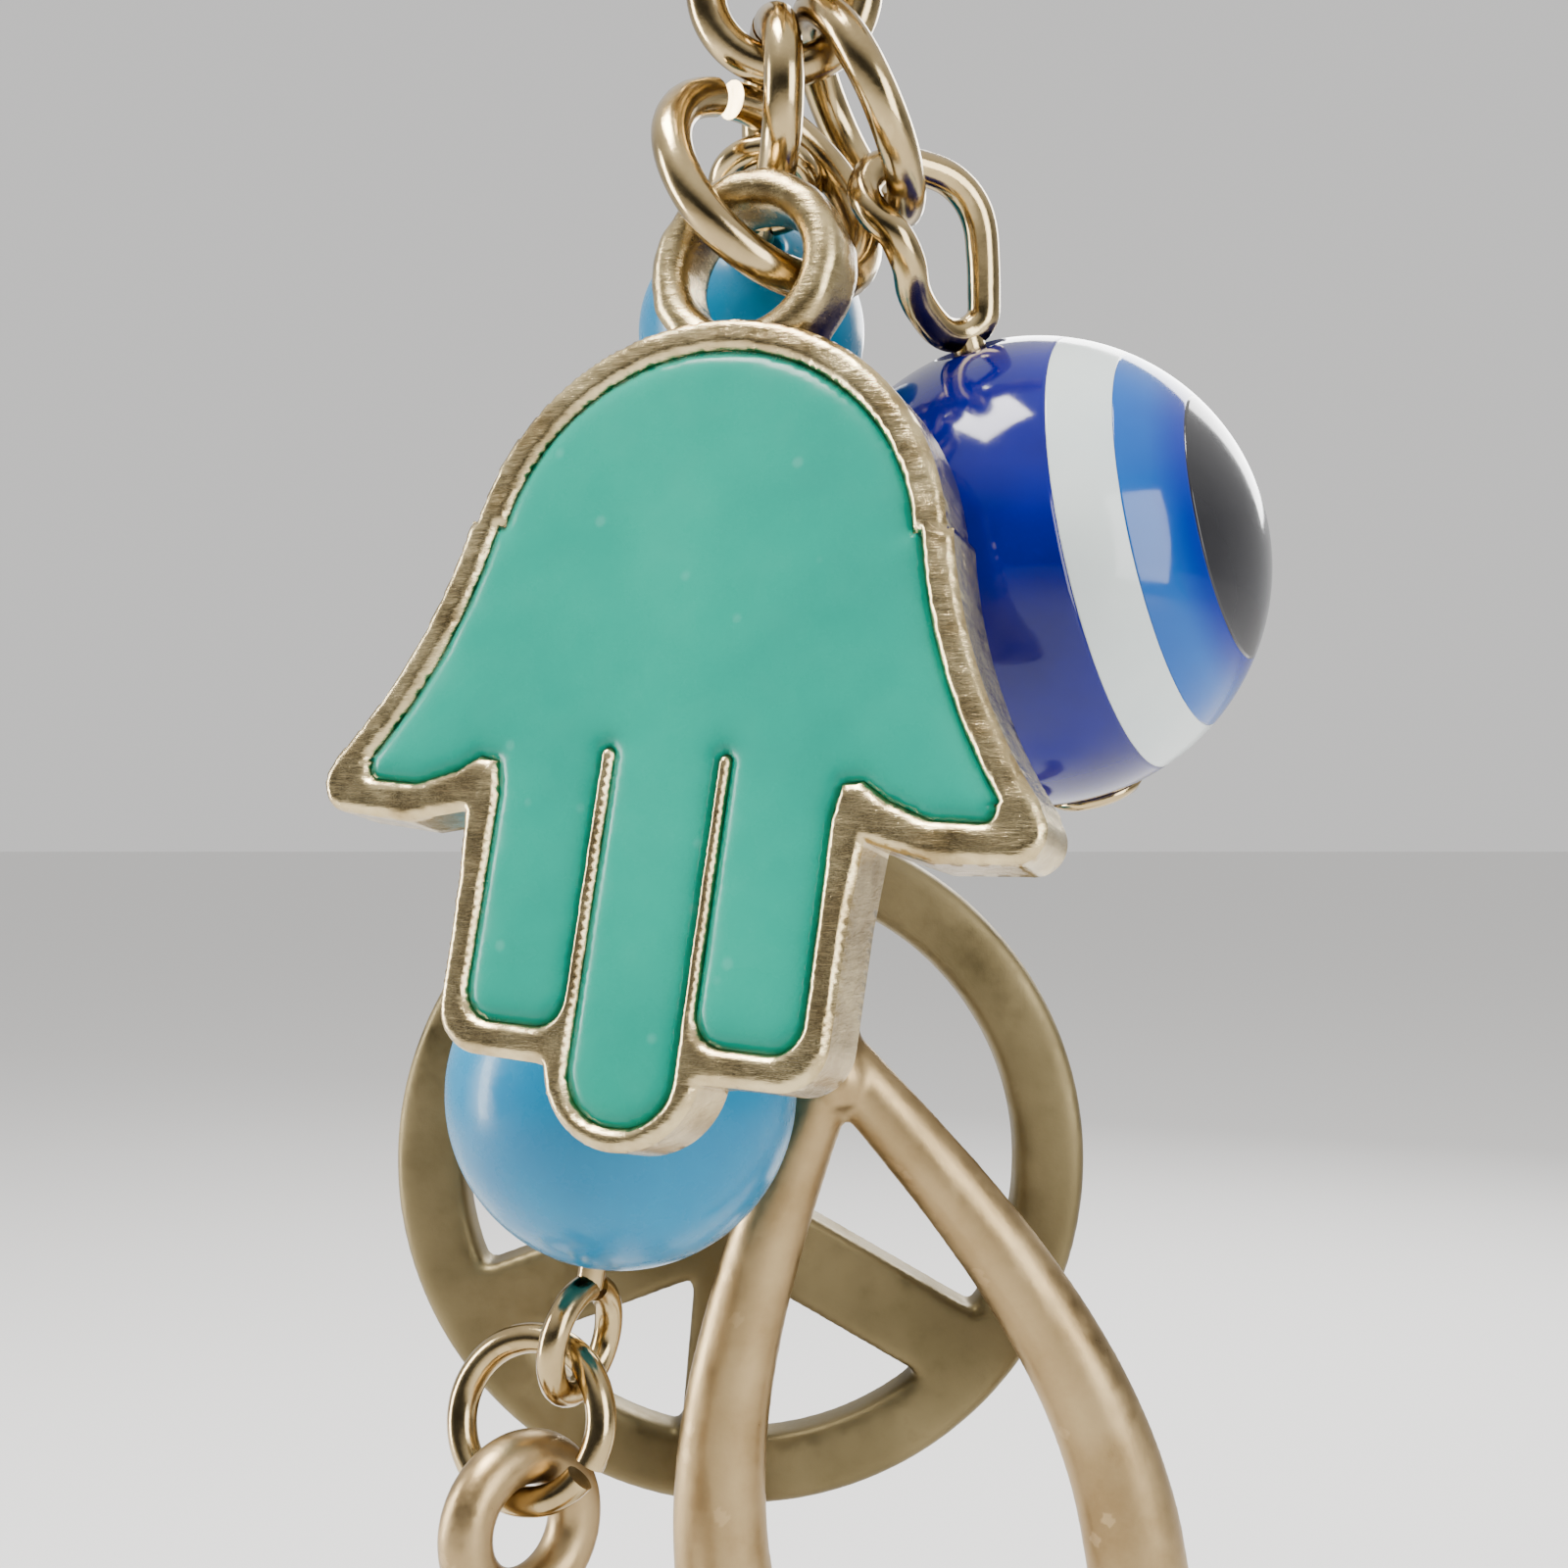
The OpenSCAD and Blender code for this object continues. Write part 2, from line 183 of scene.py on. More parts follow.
def rampNode(tree, source, stops):
    ramp = tree.nodes.new("ShaderNodeValToRGB")
    while len(ramp.color_ramp.elements) < len(stops):
        ramp.color_ramp.elements.new(0.5)
    for el, (at, col) in zip(ramp.color_ramp.elements, stops):
        el.position = at
        el.color = (*col, 1)
    tree.links.new(source, ramp.inputs["Fac"])
    return ramp


def grey(v):
    return (v, v, v)


def bumpNode(tree, bsdf, source, strength, distance):
    bump = tree.nodes.new("ShaderNodeBump")
    bump.inputs["Strength"].default_value = strength
    bump.inputs["Distance"].default_value = distance
    tree.links.new(source, bump.inputs["Height"])
    tree.links.new(bump.outputs["Normal"], bsdf.inputs["Normal"])
    return bump


def goldMaterial(name, bright, dark, rough, grain, grainDepth, worn=0.5):
    # plated metal: cloudy tarnish, brighter rubbed edges, uneven gloss and a fine grain
    mat, tree, bsdf = newMaterial(name)
    bsdf.inputs["Metallic"].default_value = 1.0
    cloud = noiseNode(tree, 450, 6, 0.6)
    tint = rampNode(tree, cloud.outputs["Fac"], [(0.3, dark), (0.62, bright)])
    geo = tree.nodes.new("ShaderNodeNewGeometry")
    edge = rampNode(tree, geo.outputs["Pointiness"], [(0.5, grey(0)), (0.56, grey(1))])
    rub = tree.nodes.new("ShaderNodeMix")
    rub.data_type = "RGBA"
    rub.inputs["B"].default_value = (*[min(1, b * gain) for b, gain in zip(bright, (1.25, 1.25, 1.3))], 1)
    half = tree.nodes.new("ShaderNodeMath")
    half.operation = "MULTIPLY"
    half.inputs[1].default_value = worn
    tree.links.new(edge.outputs["Color"], half.inputs[0])
    tree.links.new(half.outputs[0], rub.inputs["Factor"])
    tree.links.new(tint.outputs["Color"], rub.inputs["A"])
    tree.links.new(rub.outputs["Result"], bsdf.inputs["Base Color"])
    patch = noiseNode(tree, 900, 5, 0.7)
    gloss = rampNode(tree, patch.outputs["Fac"], [(0.3, grey(rough * 0.75)), (0.7, grey(min(1, rough * 1.35)))])
    tree.links.new(gloss.outputs["Color"], bsdf.inputs["Roughness"])
    fine = noiseNode(tree, grain, 8, 0.65)
    bumpNode(tree, bsdf, fine.outputs["Fac"], 0.6, grainDepth)
    return mat


def hammeredGold(name, bright, dark, rough):
    # the cast hand: fine stretched lines over soft dents
    mat, tree, bsdf = newMaterial(name)
    bsdf.inputs["Metallic"].default_value = 1.0
    cloud = noiseNode(tree, 700, 7, 0.65)
    tint = rampNode(tree, cloud.outputs["Fac"], [(0.36, dark), (0.6, bright)])
    tree.links.new(tint.outputs["Color"], bsdf.inputs["Base Color"])
    patch = noiseNode(tree, 1500, 5, 0.7)
    gloss = rampNode(tree, patch.outputs["Fac"], [(0.3, grey(rough * 0.7)), (0.7, grey(rough * 1.4))])
    tree.links.new(gloss.outputs["Color"], bsdf.inputs["Roughness"])
    lines = noiseNode(tree, 1800, 6, 0.7, stretch=(0.35, 1.0, 2.6))
    dents = noiseNode(tree, 900, 3, 0.5)
    both = tree.nodes.new("ShaderNodeMath")
    both.operation = "MULTIPLY_ADD"
    both.inputs[1].default_value = 0.6
    tree.links.new(dents.outputs["Fac"], both.inputs[0])
    tree.links.new(lines.outputs["Fac"], both.inputs[2])
    bumpNode(tree, bsdf, both.outputs[0], 0.6, 0.00004)
    return mat


def resinMaterial(name, base, deep, rough, coat=0.6, speck=0.0, sub=0.0, shine=0.5):
    # cast colour: faint clouds, small pale specks where asked for, a thin clear coat and soft ripples
    mat, tree, bsdf = newMaterial(name)
    cloud = noiseNode(tree, 260, 4, 0.5)
    tint = rampNode(tree, cloud.outputs["Fac"], [(0.3, deep), (0.68, base)])
    tree.links.new(tint.outputs["Color"], bsdf.inputs["Base Color"])
    if speck > 0:
        coord = tree.nodes.new("ShaderNodeTexCoord")
        dots = tree.nodes.new("ShaderNodeTexVoronoi")
        dots.inputs["Scale"].default_value = 900
        tree.links.new(coord.outputs["Object"], dots.inputs["Vector"])
        spot = rampNode(tree, dots.outputs["Distance"], [(0.06, grey(speck)), (0.13, grey(0))])
        mix = tree.nodes.new("ShaderNodeMix")
        mix.data_type = "RGBA"
        mix.inputs["B"].default_value = (*[min(1, b + more) for b, more in zip(base, (0.15, 0.2, 0.2))], 1)
        tree.links.new(spot.outputs["Color"], mix.inputs["Factor"])
        tree.links.new(tint.outputs["Color"], mix.inputs["A"])
        tree.links.new(mix.outputs["Result"], bsdf.inputs["Base Color"])
    patch = noiseNode(tree, 1200, 5, 0.6)
    gloss = rampNode(tree, patch.outputs["Fac"], [(0.3, grey(rough * 0.7)), (0.75, grey(rough * 1.5))])
    tree.links.new(gloss.outputs["Color"], bsdf.inputs["Roughness"])
    bsdf.inputs["Specular IOR Level"].default_value = shine
    bsdf.inputs["Coat Weight"].default_value = coat
    bsdf.inputs["Coat Roughness"].default_value = 0.05
    bsdf.inputs["Subsurface Weight"].default_value = sub
    bsdf.inputs["Subsurface Radius"].default_value = (0.4, 0.8, 1.0)
    bsdf.inputs["Subsurface Scale"].default_value = 0.0006
    ripple = noiseNode(tree, 500, 4, 0.5)
    bumpNode(tree, bsdf, ripple.outputs["Fac"], 0.25, 0.00003)
    return mat


ringGold = goldMaterial("ringGold", (0.46, 0.35, 0.175), (0.20, 0.135, 0.06), 0.17, 2600, 0.00001)
keyRingGold = goldMaterial("keyRingGold", (0.50, 0.39, 0.21), (0.26, 0.19, 0.09), 0.2, 1800, 0.00001)
handGold = hammeredGold("handGold", (0.62, 0.50, 0.27), (0.34, 0.25, 0.12), 0.2)
bailGold = hammeredGold("bailGold", (0.52, 0.41, 0.21), (0.20, 0.14, 0.065), 0.24)
satinGold = goldMaterial("satinGold", (0.38, 0.275, 0.14), (0.23, 0.155, 0.07), 0.36, 1700, 0.00002)
# a darker gold for the medallion, with less brightening at the edges
darkGold = goldMaterial("darkGold", (0.20, 0.158, 0.08), (0.10, 0.078, 0.036), 0.5, 1500, 0.00002, 0.3)
tealEnamel = resinMaterial("tealEnamel", (0.0, 0.24, 0.165), (0.0, 0.19, 0.135), 0.26, 0.04, 0.14, 0.0, 0.16)
skyResin = resinMaterial("skyResin", (0.0, 0.17, 0.32), (0.0, 0.13, 0.27), 0.26, 0.08, 0.0, 0.0, 0.22)
cobaltResin = resinMaterial("cobaltResin", (0.0, 0.002, 0.17), (0.0, 0.0, 0.08), 0.1, 0.12, 0.0, 0.0, 0.3)
whiteResin = resinMaterial("whiteResin", (0.60, 0.66, 0.64), (0.50, 0.57, 0.58), 0.16, 0.2, 0.0, 0.0, 0.35)
azureResin = resinMaterial("azureResin", (0.0, 0.09, 0.36), (0.0, 0.06, 0.29), 0.1, 0.12, 0.0, 0.0, 0.3)
charcoalResin = resinMaterial("charcoalResin", (0.03, 0.03, 0.033), (0.014, 0.014, 0.016), 0.12, 0.15,
                              0.0, 0.0, 0.35)


def deepenTowards(mat, axis, centre, start, stop, colour):
    # a second colour grows in along an axis through the bead
    tree = mat.node_tree
    bsdf = tree.nodes["Principled BSDF"]
    old = bsdf.inputs["Base Color"].links[0].from_socket
    coord = tree.nodes.new("ShaderNodeTexCoord")
    dot = tree.nodes.new("ShaderNodeVectorMath")
    dot.operation = "DOT_PRODUCT"
    dot.inputs[1].default_value = axis
    tree.links.new(coord.outputs["Object"], dot.inputs[0])
    off = tree.nodes.new("ShaderNodeMath")
    off.operation = "SUBTRACT"
    off.inputs[1].default_value = Vector(axis).dot(centre)
    tree.links.new(dot.outputs["Value"], off.inputs[0])
    side = tree.nodes.new("ShaderNodeMath")
    side.operation = "ABSOLUTE"
    tree.links.new(off.outputs[0], side.inputs[0])
    grow = tree.nodes.new("ShaderNodeMapRange")
    grow.interpolation_type = "SMOOTHSTEP"
    grow.inputs["From Min"].default_value = start
    grow.inputs["From Max"].default_value = stop
    tree.links.new(side.outputs[0], grow.inputs["Value"])
    mix = tree.nodes.new("ShaderNodeMix")
    mix.data_type = "RGBA"
    mix.inputs["B"].default_value = (*colour, 1)
    tree.links.new(grow.outputs["Result"], mix.inputs["Factor"])
    tree.links.new(old, mix.inputs["A"])
    tree.links.new(mix.outputs["Result"], bsdf.inputs["Base Color"])


print("materials made")


# one Geometry Nodes tree draws every ring, pin and loop

def wireTree():
    tree = bpy.data.node_groups.new("bentWire", "GeometryNodeTree")
    face = tree.interface
    face.new_socket("Path", in_out="INPUT", socket_type="NodeSocketGeometry")
    face.new_socket("Wire Radius", in_out="INPUT", socket_type="NodeSocketFloat")
    face.new_socket("Sides", in_out="INPUT", socket_type="NodeSocketInt")
    face.new_socket("Unevenness", in_out="INPUT", socket_type="NodeSocketFloat")
    face.new_socket("Grain Scale", in_out="INPUT", socket_type="NodeSocketFloat")
    face.new_socket("Metal", in_out="INPUT", socket_type="NodeSocketMaterial")
    face.new_socket("Wire", in_out="OUTPUT", socket_type="NodeSocketGeometry")
    add = tree.nodes.new
    link = tree.links.new
    start, end = add("NodeGroupInput"), add("NodeGroupOutput")
    curve = add("GeometryNodeMeshToCurve")
    profile = add("GeometryNodeCurvePrimitiveCircle")
    sweep = add("GeometryNodeCurveToMesh")
    sweep.inputs["Fill Caps"].default_value = True
    grain = add("ShaderNodeTexNoise")
    centred = add("ShaderNodeMath")
    centred.operation = "SUBTRACT"
    centred.inputs[1].default_value = 0.5
    amount = add("ShaderNodeMath")
    amount.operation = "MULTIPLY"
    normal = add("GeometryNodeInputNormal")
    push = add("ShaderNodeVectorMath")
    push.operation = "SCALE"
    move = add("GeometryNodeSetPosition")
    shade = add("GeometryNodeSetShadeSmooth")
    real = add("GeometryNodeRealizeInstances")
    paint = add("GeometryNodeSetMaterial")
    link(start.outputs["Path"], curve.inputs["Mesh"])
    link(start.outputs["Wire Radius"], profile.inputs["Radius"])
    link(start.outputs["Sides"], profile.inputs["Resolution"])
    link(curve.outputs["Curve"], sweep.inputs["Curve"])
    link(profile.outputs["Curve"], sweep.inputs["Profile Curve"])
    link(start.outputs["Grain Scale"], grain.inputs["Scale"])
    link(grain.outputs["Fac"], centred.inputs[0])
    link(centred.outputs[0], amount.inputs[0])
    link(start.outputs["Unevenness"], amount.inputs[1])
    link(normal.outputs[0], push.inputs[0])
    link(amount.outputs[0], push.inputs["Scale"])
    link(sweep.outputs["Mesh"], move.inputs["Geometry"])
    link(push.outputs[0], move.inputs["Offset"])
    link(move.outputs["Geometry"], shade.inputs["Geometry"])
    link(shade.outputs["Geometry"], real.inputs["Geometry"])
    link(real.outputs["Geometry"], paint.inputs["Geometry"])
    link(start.outputs["Metal"], paint.inputs["Material"])
    link(paint.outputs["Geometry"], end.inputs["Wire"])
    return tree


bentWire = wireTree()


def drawWires(name, paths, radius, mat, sides=20, unevenness=0.00003, grainScale=700):
    # paths: list of (points, closed); everything in one object
    verts, edges = [], []
    for pts, closed in paths:
        first = len(verts)
        verts += [tuple(p) for p in pts]
        edges += [(first + i, first + i + 1) for i in range(len(pts) - 1)]
        if closed:
            edges.append((len(verts) - 1, first))
    mesh = bpy.data.meshes.new(name)
    mesh.from_pydata(verts, edges, [])
    obj = bpy.data.objects.new(name, mesh)
    bpy.context.scene.collection.objects.link(obj)
    mod = obj.modifiers.new("bentWire", "NODES")
    mod.node_group = bentWire
    values = {"Wire Radius": radius, "Sides": sides, "Unevenness": unevenness,
              "Grain Scale": grainScale, "Metal": mat}
    for item in bentWire.interface.items_tree:
        if item.item_type == "SOCKET" and item.in_out == "INPUT" and item.name in values:
            mod[item.identifier] = values[item.name]
    bake(obj)
    bm = bmesh.new()
    bm.from_mesh(obj.data)
    bmesh.ops.recalc_face_normals(bm, faces=bm.faces)
    bm.to_mesh(obj.data)
    bm.free()
    return obj


closedBelow = math.radians(6.5)  # a wider gap between two points of a ring is its cut


def ringPath(ring, steps=96):
    closed = ring["cutSize"] < closedBelow
    if closed:
        turns = np.linspace(0, 2 * math.pi, steps, endpoint=False)
    else:
        turns = np.linspace(ring["cutStart"] + ring["cutSize"], ring["cutStart"] + 2 * math.pi, steps)
    pts = [ring["centre"] + ring["radius"] * (math.cos(t) * ring["u"] + math.sin(t) * ring["v"])
           for t in turns]
    return pts, closed


def smoothPath(pts, closed, perSpan=6):
    # Catmull-Rom through given points
    pts = [Vector(p) for p in pts]
    n = len(pts)
    out = []
    for i in range(n if closed else n - 1):
        a, b, c, d = (pts[(i + k) % n] if closed else pts[min(max(i + k, 0), n - 1)] for k in (-1, 0, 1, 2))
        for s in range(perSpan):
            t = s / perSpan
            out.append(0.5 * (2 * b + (c - a) * t + (2 * a - 5 * b + 4 * c - d) * t * t
                              + (3 * b - a - 3 * c + d) * t ** 3))
    if not closed:
        out.append(pts[-1])
    return out


def frameFrom(at, z, x):
    # local +Z along z, local +X on the side of x
    z = Vector(z).normalized()
    y = z.cross(Vector(x)).normalized()
    x = y.cross(z)
    m = Matrix((x, y, z)).transposed().to_4x4()
    m.translation = Vector(at)
    return m


def lathe(name, profile, place, mat, steps=96):
    # profile: (radius, height) pairs turned round local Z; ends on the axis are closed
    verts, faces = [], []
    for k in range(steps):
        a = fullTurn * k / steps
        for r, h in profile:
            verts.append(place @ Vector((r * math.cos(a), r * math.sin(a), h)))
    n = len(profile)
    for k in range(steps):
        b = (k + 1) % steps
        for i in range(n - 1):
            faces.append((k * n + i, b * n + i, b * n + i + 1, k * n + i + 1))
    return meshObject(name, verts, faces, mat)


joint = {j["name"]: j for j in frame["joints"]}
nodeBody = {n: o["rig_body"] for n, o in frame["nodes"].items()}


# the split key ring and the round rings

# stops and lead are degrees: where each end of the coil stops, and how far the crossing spreads
keyRing = dict(stops=34, lead=30, steps=240, turned=140, offset=0.49)


def keyRingPath():
    low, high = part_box("key_ring")
    mid = (low + high) / 2
    wire = (high.y - low.y) / (1 + 2 * keyRing["offset"])
    radius = (high.x - low.x) / 2 - wire / 2
    pts = []
    for t in np.linspace(keyRing["stops"], 720 - keyRing["stops"], keyRing["steps"]):
        cross = min(max((t - 360 + keyRing["lead"]) / (2 * keyRing["lead"]), 0), 1)
        y = (-1 + 2 * cross * cross * (3 - 2 * cross)) * keyRing["offset"] * wire
        a = math.radians(t + keyRing["turned"])
        pts.append(mid + Vector((radius * math.cos(a), y, radius * math.sin(a))))
    return pts, wire


path, wire = keyRingPath()
settle(drawWires("keyRingCoil", [(path, False)], wire / 2, keyRingGold, 24, 0.00002, 400),
       "key_ring", ["key_ring"])

roundRings = ["key_ring_link", "cluster_ring", "centre_ring", "bead_ring", "hand_ring", "strand_ring_1",
              "strand_ring_2", "strand_ring_3", "strand_ring_4", "drop_ring", "fork_ring",
              "wishbone_ring_1", "wishbone_ring_2", "medallion_ring_1", "medallion_ring_2"]
for node in roundRings:
    ring = readRing(node)
    gold = keyRingGold if node == "key_ring_link" else ringGold
    piece = drawWires(node + "_wire", [ringPath(ring)], ring["wire"], gold)
    settle(piece, nodeBody[node], [node])
print("rings drawn:", len(roundRings) + 1)


# blue beads on their pins

beadPins = dict(
    small=dict(half=3.88 * mm, loop=0.9 * mm, wire=0.6 * mm, hole=0.5 * mm, twist=90, side=(1, 0, 0)),
    big=dict(half=5.75 * mm, loop=1.22 * mm, wire=0.65 * mm, hole=0.575 * mm, twist=26.4,
             side=(0.784, 0.607, -0.131)),
)
loopEnds = (-76, 268)  # degrees round a pin's loop, so that its end stops just short of the stem


def pinPaths(place, pin):
    paths = []
    stem = pin["half"] - pin["loop"]
    paths.append(([place @ Vector((0, 0, h)) for h in np.linspace(-stem, stem, 24)], False))
    for way, twist in ((1, 0), (-1, pin["twist"])):
        loop = []
        for t in np.linspace(*loopEnds, 56):
            a = math.radians(t)
            x, h = pin["loop"] * math.cos(a), pin["loop"] * math.sin(a)
            c, s = math.cos(math.radians(twist)), math.sin(math.radians(twist))
            loop.append(place @ Vector((x * c, x * s, way * (pin["half"] + h))))
        paths.append((loop, False))
    return paths


def turnedBead(name, place, radius, hole, mat):
    # ball with a softly rounded hole along its axis
    lip = math.asin(hole * 1.35 / radius)
    outer = [(radius * math.sin(a), radius * math.cos(a)) for a in np.linspace(lip, math.pi - lip, 72)]
    edge = radius * math.cos(lip)
    step = edge - hole * 0.22
    lead = [(hole, step), (hole * 1.02, step + hole * 0.12), (hole * 1.12, edge - hole * 0.02)]
    away = [(r, -h) for r, h in reversed(lead)]
    return lathe(name, lead + outer + away + [(hole, step)], place, mat, 112)


for key, pin in beadPins.items():
    spin = joint[key + "_bead_spin"]
    axis = Vector(spin["axis"])
    up = -axis if key == "small" else axis
    place = frameFrom(spin["pos_m"], up, pin["side"])
    low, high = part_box(key + "_bead")
    radius = max(high - low) / 2
    settle(drawWires(key + "BeadPin", pinPaths(place, pin), pin["wire"] / 2, ringGold, 16, 0.00002),
           key + "_bead_pin", [key + "_bead_pin"])
    settle(turnedBead(key + "BeadBall", place, radius, pin["hole"], skyResin), key + "_bead",
           [key + "_bead"])
print("blue beads made")


# evil eye bead

eyeLoop = dict(wire=0.7 * mm, foot=1.1 * mm, footThick=0.4 * mm)
holeRadius, drillReach = 0.75 * mm, 6 * mm
# layer faces, as shares of the bead's radius along the eye's axis
whiteFrom, blueFrom, pupilFrom = 0.38, 0.61, 0.83
deepening = (0.70, 0.83)
# the wire loop's route, in millimetres from the key ring's centre
loopRoute = [(4.14, 1.25, -21.96), (4.17, 1.2, -21.38), (4.14, 1.09, -20.66), (4.05, 0.98, -20.03),
             (3.81, 0.85, -19.53), (3.41, 0.68, -19.2), (2.91, 0.47, -19.05), (2.37, 0.21, -19.02),
             (1.86, -0.07, -19.22), (1.61, -0.39, -19.73), (1.81, -0.66, -20.27), (2.22, -0.76, -20.73),
             (2.5, -0.51, -21.25), (2.64, -0.01, -21.71), (2.92, 0.46, -22.06), (3.3, 0.9, -22.32),
             (3.75, 1.18, -22.3)]

eyeSpin = joint["eye_bead_spin"]
eyeAt, holeAxis = Vector(eyeSpin["pos_m"]), Vector(eyeSpin["axis"])
pupilRight = Vector(nodePoints("eye_pupil_right").mean(0))
pupilLeft = Vector(nodePoints("eye_pupil_left").mean(0))
eyeAxis = (pupilRight - pupilLeft).normalized()
layerNodes = [n for n in frame["nodes"] if nodeBody[n] == "eye_bead"]
eyeRadius = max(np.linalg.norm(nodePoints(n) - np.array(eyeAt), axis=1).max() for n in layerNodes)
eyePlace = frameFrom(eyeAt, eyeAxis, holeAxis)
deepenTowards(azureResin, eyeAxis, eyeAt, *[share * eyeRadius for share in deepening], (0.0, 0.015, 0.22))
eyeLayers = [("eye_pupil_left", -1.0, -pupilFrom, charcoalResin, "charcoal_resin"),
             ("eye_blue_left", -pupilFrom, -blueFrom, azureResin, "azure_resin"),
             ("eye_white_left", -blueFrom, -whiteFrom, whiteResin, "white_resin"),
             ("eye_body", -whiteFrom, whiteFrom, cobaltResin, "cobalt_resin"),
             ("eye_white_right", whiteFrom, blueFrom, whiteResin, "white_resin"),
             ("eye_blue_right", blueFrom, pupilFrom, azureResin, "azure_resin"),
             ("eye_pupil_right", pupilFrom, 1.0, charcoalResin, "charcoal_resin")]


def eyeZone(name, low, high, mat):
    a0, a1 = math.acos(high), math.acos(low)
    arc = [(eyeRadius * math.sin(a), eyeRadius * math.cos(a)) for a in np.linspace(a0, a1, 40)]
    front = [(0, eyeRadius * high)] if a0 > 0 else []
    back = [(0, eyeRadius * low)] if a1 < math.pi else []
    return lathe(name, front + arc + back, eyePlace, mat, 144)


for node, low, high, mat, slotName in eyeLayers:
    zone = eyeZone(node + "_layer", low, high, mat)
    if node == "eye_body":
        rod = [(0, -drillReach), (holeRadius, -drillReach), (holeRadius, drillReach), (0, drillReach)]
        drill = lathe("drill", rod, frameFrom(eyeAt, holeAxis, eyeAxis), cobaltResin, 48)
        cut = zone.modifiers.new("hole", "BOOLEAN")
        cut.object = drill
        cut.operation = "DIFFERENCE"
        cut.solver = "EXACT"
        bpy.context.view_layer.update()
        bake(zone)
        bpy.data.objects.remove(drill)
        zone.data.materials.clear()
        zone.data.materials.append(mat)
    settle(zone, "eye_bead", [node])

stem = [eyeAt + holeAxis * h for h in np.linspace(-eyeRadius - 0.1 * mm, eyeRadius + 0.2 * mm, 20)]
loop = smoothPath([Vector(p) * mm for p in loopRoute], True)
loopPiece = drawWires("eyeLoopWire", [(loop, True), (stem, False)], eyeLoop["wire"] / 2, ringGold, 20, 0.00005)
footPlace = frameFrom(eyeAt - holeAxis * (eyeRadius - 0.1 * mm), -holeAxis, eyeAxis)
foot = lathe("eyeFoot", [(0, 0), (eyeLoop["foot"] * 0.9, 0), (eyeLoop["foot"], 0.1 * mm),
                         (eyeLoop["foot"] * 0.85, 0.28 * mm), (eyeLoop["foot"] * 0.4, 0.39 * mm),
                         (0, eyeLoop["footThick"])], footPlace, ringGold, 48)
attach(foot, "eye_loop")
settle(loopPiece, "eye_loop", ["eye_loop"])
print("evil eye bead made")


# hamsa hand

# the hand is drawn flat, x across and y up, in millimetres from its middle; depth grows backwards from the face
hand = dict(at=(-2.2, -4.0, -30.87), pitch=-11.5, lean=3.6, yaw=-23, thick=1.7, pocket=0.7,
            dome=5.13, domeY=3.33,
            sideAt=(15.7, 6.1), sideR=10.85, rim=0.65, ridge=0.28, edge=0.2,
            bailY=9.5, bailR=1.6, bailWall=0.8, bailDepth=1.5)
handPlace = (Matrix.Translation(Vector(hand["at"]) * mm)
             @ Matrix.Rotation(math.radians(hand["yaw"]), 4, "Z")
             @ Matrix.Rotation(math.radians(hand["pitch"]), 4, "X")
             @ Matrix.Rotation(math.radians(hand["lean"]), 4, "Y")
             @ Matrix.Scale(mm, 4))


def arc(cx, cy, r, start, stop, n=14):
    return [(cx + r * math.cos(math.radians(start + (stop - start) * i / n)),
             cy + r * math.sin(math.radians(start + (stop - start) * i / n))) for i in range(n + 1)]


def bothSides(half):
    return half + [(-x, y) for x, y in reversed(half) if abs(x) > 1e-6]


def dense(points, step):
    out = []
    for i, p in enumerate(points):
        q = points[(i + 1) % len(points)]
        d = math.dist(p, q)
        if d < 1e-5:
            continue
        n = max(1, round(d / step))
        out += [(p[0] + (q[0] - p[0]) * k / n, p[1] + (q[1] - p[1]) * k / n) for k in range(n)]
    return out


def handOutline():
    # half from the crown of the palm to the middle fingertip, then mirrored
    sx, sy = hand["sideAt"]
    half = arc(0, hand["domeY"], hand["dome"] - 0.16, 90, 10, 30) + arc(sx, sy, hand["sideR"], 190, 218.5, 16)
    half += arc(6.83, -1.2, 0.58, 39, -95) + [(5.4, -1.87), (4.1, -1.57), (4, -3)]
    half += arc(3.05, -5.2, 0.92, 0, -90) + [(1.75, -6.14)] + arc(0, -5.95, 1.6, -8, -90)
    return bothSides(half)


def pocketOutline():
    sx, sy = hand["sideAt"]
    r, g = hand["rim"], hand["ridge"]
    half = arc(0, hand["domeY"], hand["dome"] - 0.16 - r, 90, 10, 30)
    half += arc(sx, sy, hand["sideR"] + r * 0.95, 190, 216.5, 16) + arc(6.2, -0.86, 0.22, 30, -95, 8)
    half += [(5.3, -1.1), (4.45, -0.8), (3.95, -0.48), (3.55, -0.55), (3.42, -1.2)]
    half += arc(2.82, -4.87, 0.6, 0, -90) + arc(1.07 + g + 0.6, -4.87, 0.6, -90, -180)
    half += arc(1.07 + g / 2, -0.3, g / 2, 0, 180) + arc(0.07, -6.1, 1.0, 0, -90)
    return bothSides(half)


def inside(points, loop):
    x, y = points[:, 0], points[:, 1]
    hit = np.zeros(len(points), bool)
    for (x0, y0), (x1, y1) in zip(loop, loop[1:] + loop[:1]):
        if y0 != y1:
            hit ^= ((y0 > y) != (y1 > y)) & (x < (x1 - x0) * (y - y0) / (y1 - y0) + x0)
    return hit


def reach(points, loops):
    # shortest distance from each point to any loop
    batch = 4000
    best = np.full(len(points), 1e9)
    for loop in loops:
        a = np.array(loop)
        b = np.roll(a, -1, 0)
        d = b - a
        for k in range(0, len(points), batch):
            p = points[k:k + batch, None]
            t = np.clip(((p - a) * d).sum(2) / np.maximum((d * d).sum(1), 1e-12), 0, 1)
            near = np.linalg.norm(p - (a + t[..., None] * d), axis=2).min(1)
            best[k:k + batch] = np.minimum(best[k:k + batch], near)
    return best


